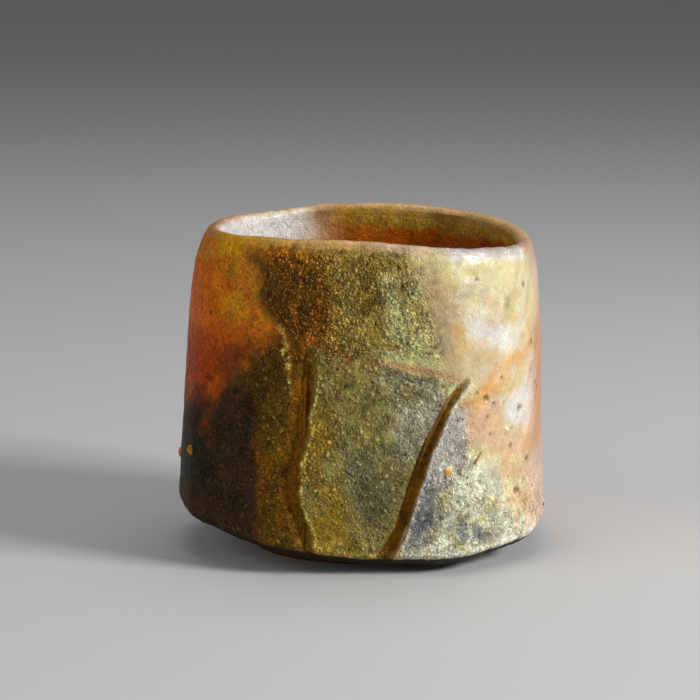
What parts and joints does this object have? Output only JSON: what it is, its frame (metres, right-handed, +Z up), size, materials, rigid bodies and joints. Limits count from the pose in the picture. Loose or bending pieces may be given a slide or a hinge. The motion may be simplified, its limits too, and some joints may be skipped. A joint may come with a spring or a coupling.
{
  "type": "sake cup",
  "caption": "Small hand-cut stoneware sake cup: oval faceted wall, gouged grooves, wavy rounded lip, deep round bowl, ring foot and natural ash glaze crust on the front.",
  "frame": {"origin": "middle of the foot's bounding box on the surface the cup stands on", "axes": "+Z up; the faceted front with the two grooves faces -Y; +X is the right of the picture"},
  "size_m": [0.0708, 0.0631, 0.0623],
  "materials": {
    "fired_clay": "satin, orange to cream flashing",
    "olive_ash": "rough olive and tan ash glaze",
    "pale_ash": "beaded grey and yellow-white ash glaze",
    "charred_ash": "dark satin charred ash",
    "amber_glass": "dark amber glass",
    "feldspar": "glassy melted grain"
  },
  "bodies": {
    "root": {"clay_body": "fired_clay", "ash_glaze_upper": "olive_ash", "ash_glaze_centre": "olive_ash", "ash_glaze_right": "pale_ash", "ash_glaze_left": "charred_ash", "ash_glaze_inner_band": "olive_ash", "groove_glass_left": "amber_glass", "groove_glass_right": "amber_glass", "feldspar_stone_front": "feldspar", "feldspar_stone_left_large": "feldspar", "feldspar_stone_left_small": "feldspar", "kiln_grit_chip": "feldspar"}
  },
  "joints": []
}
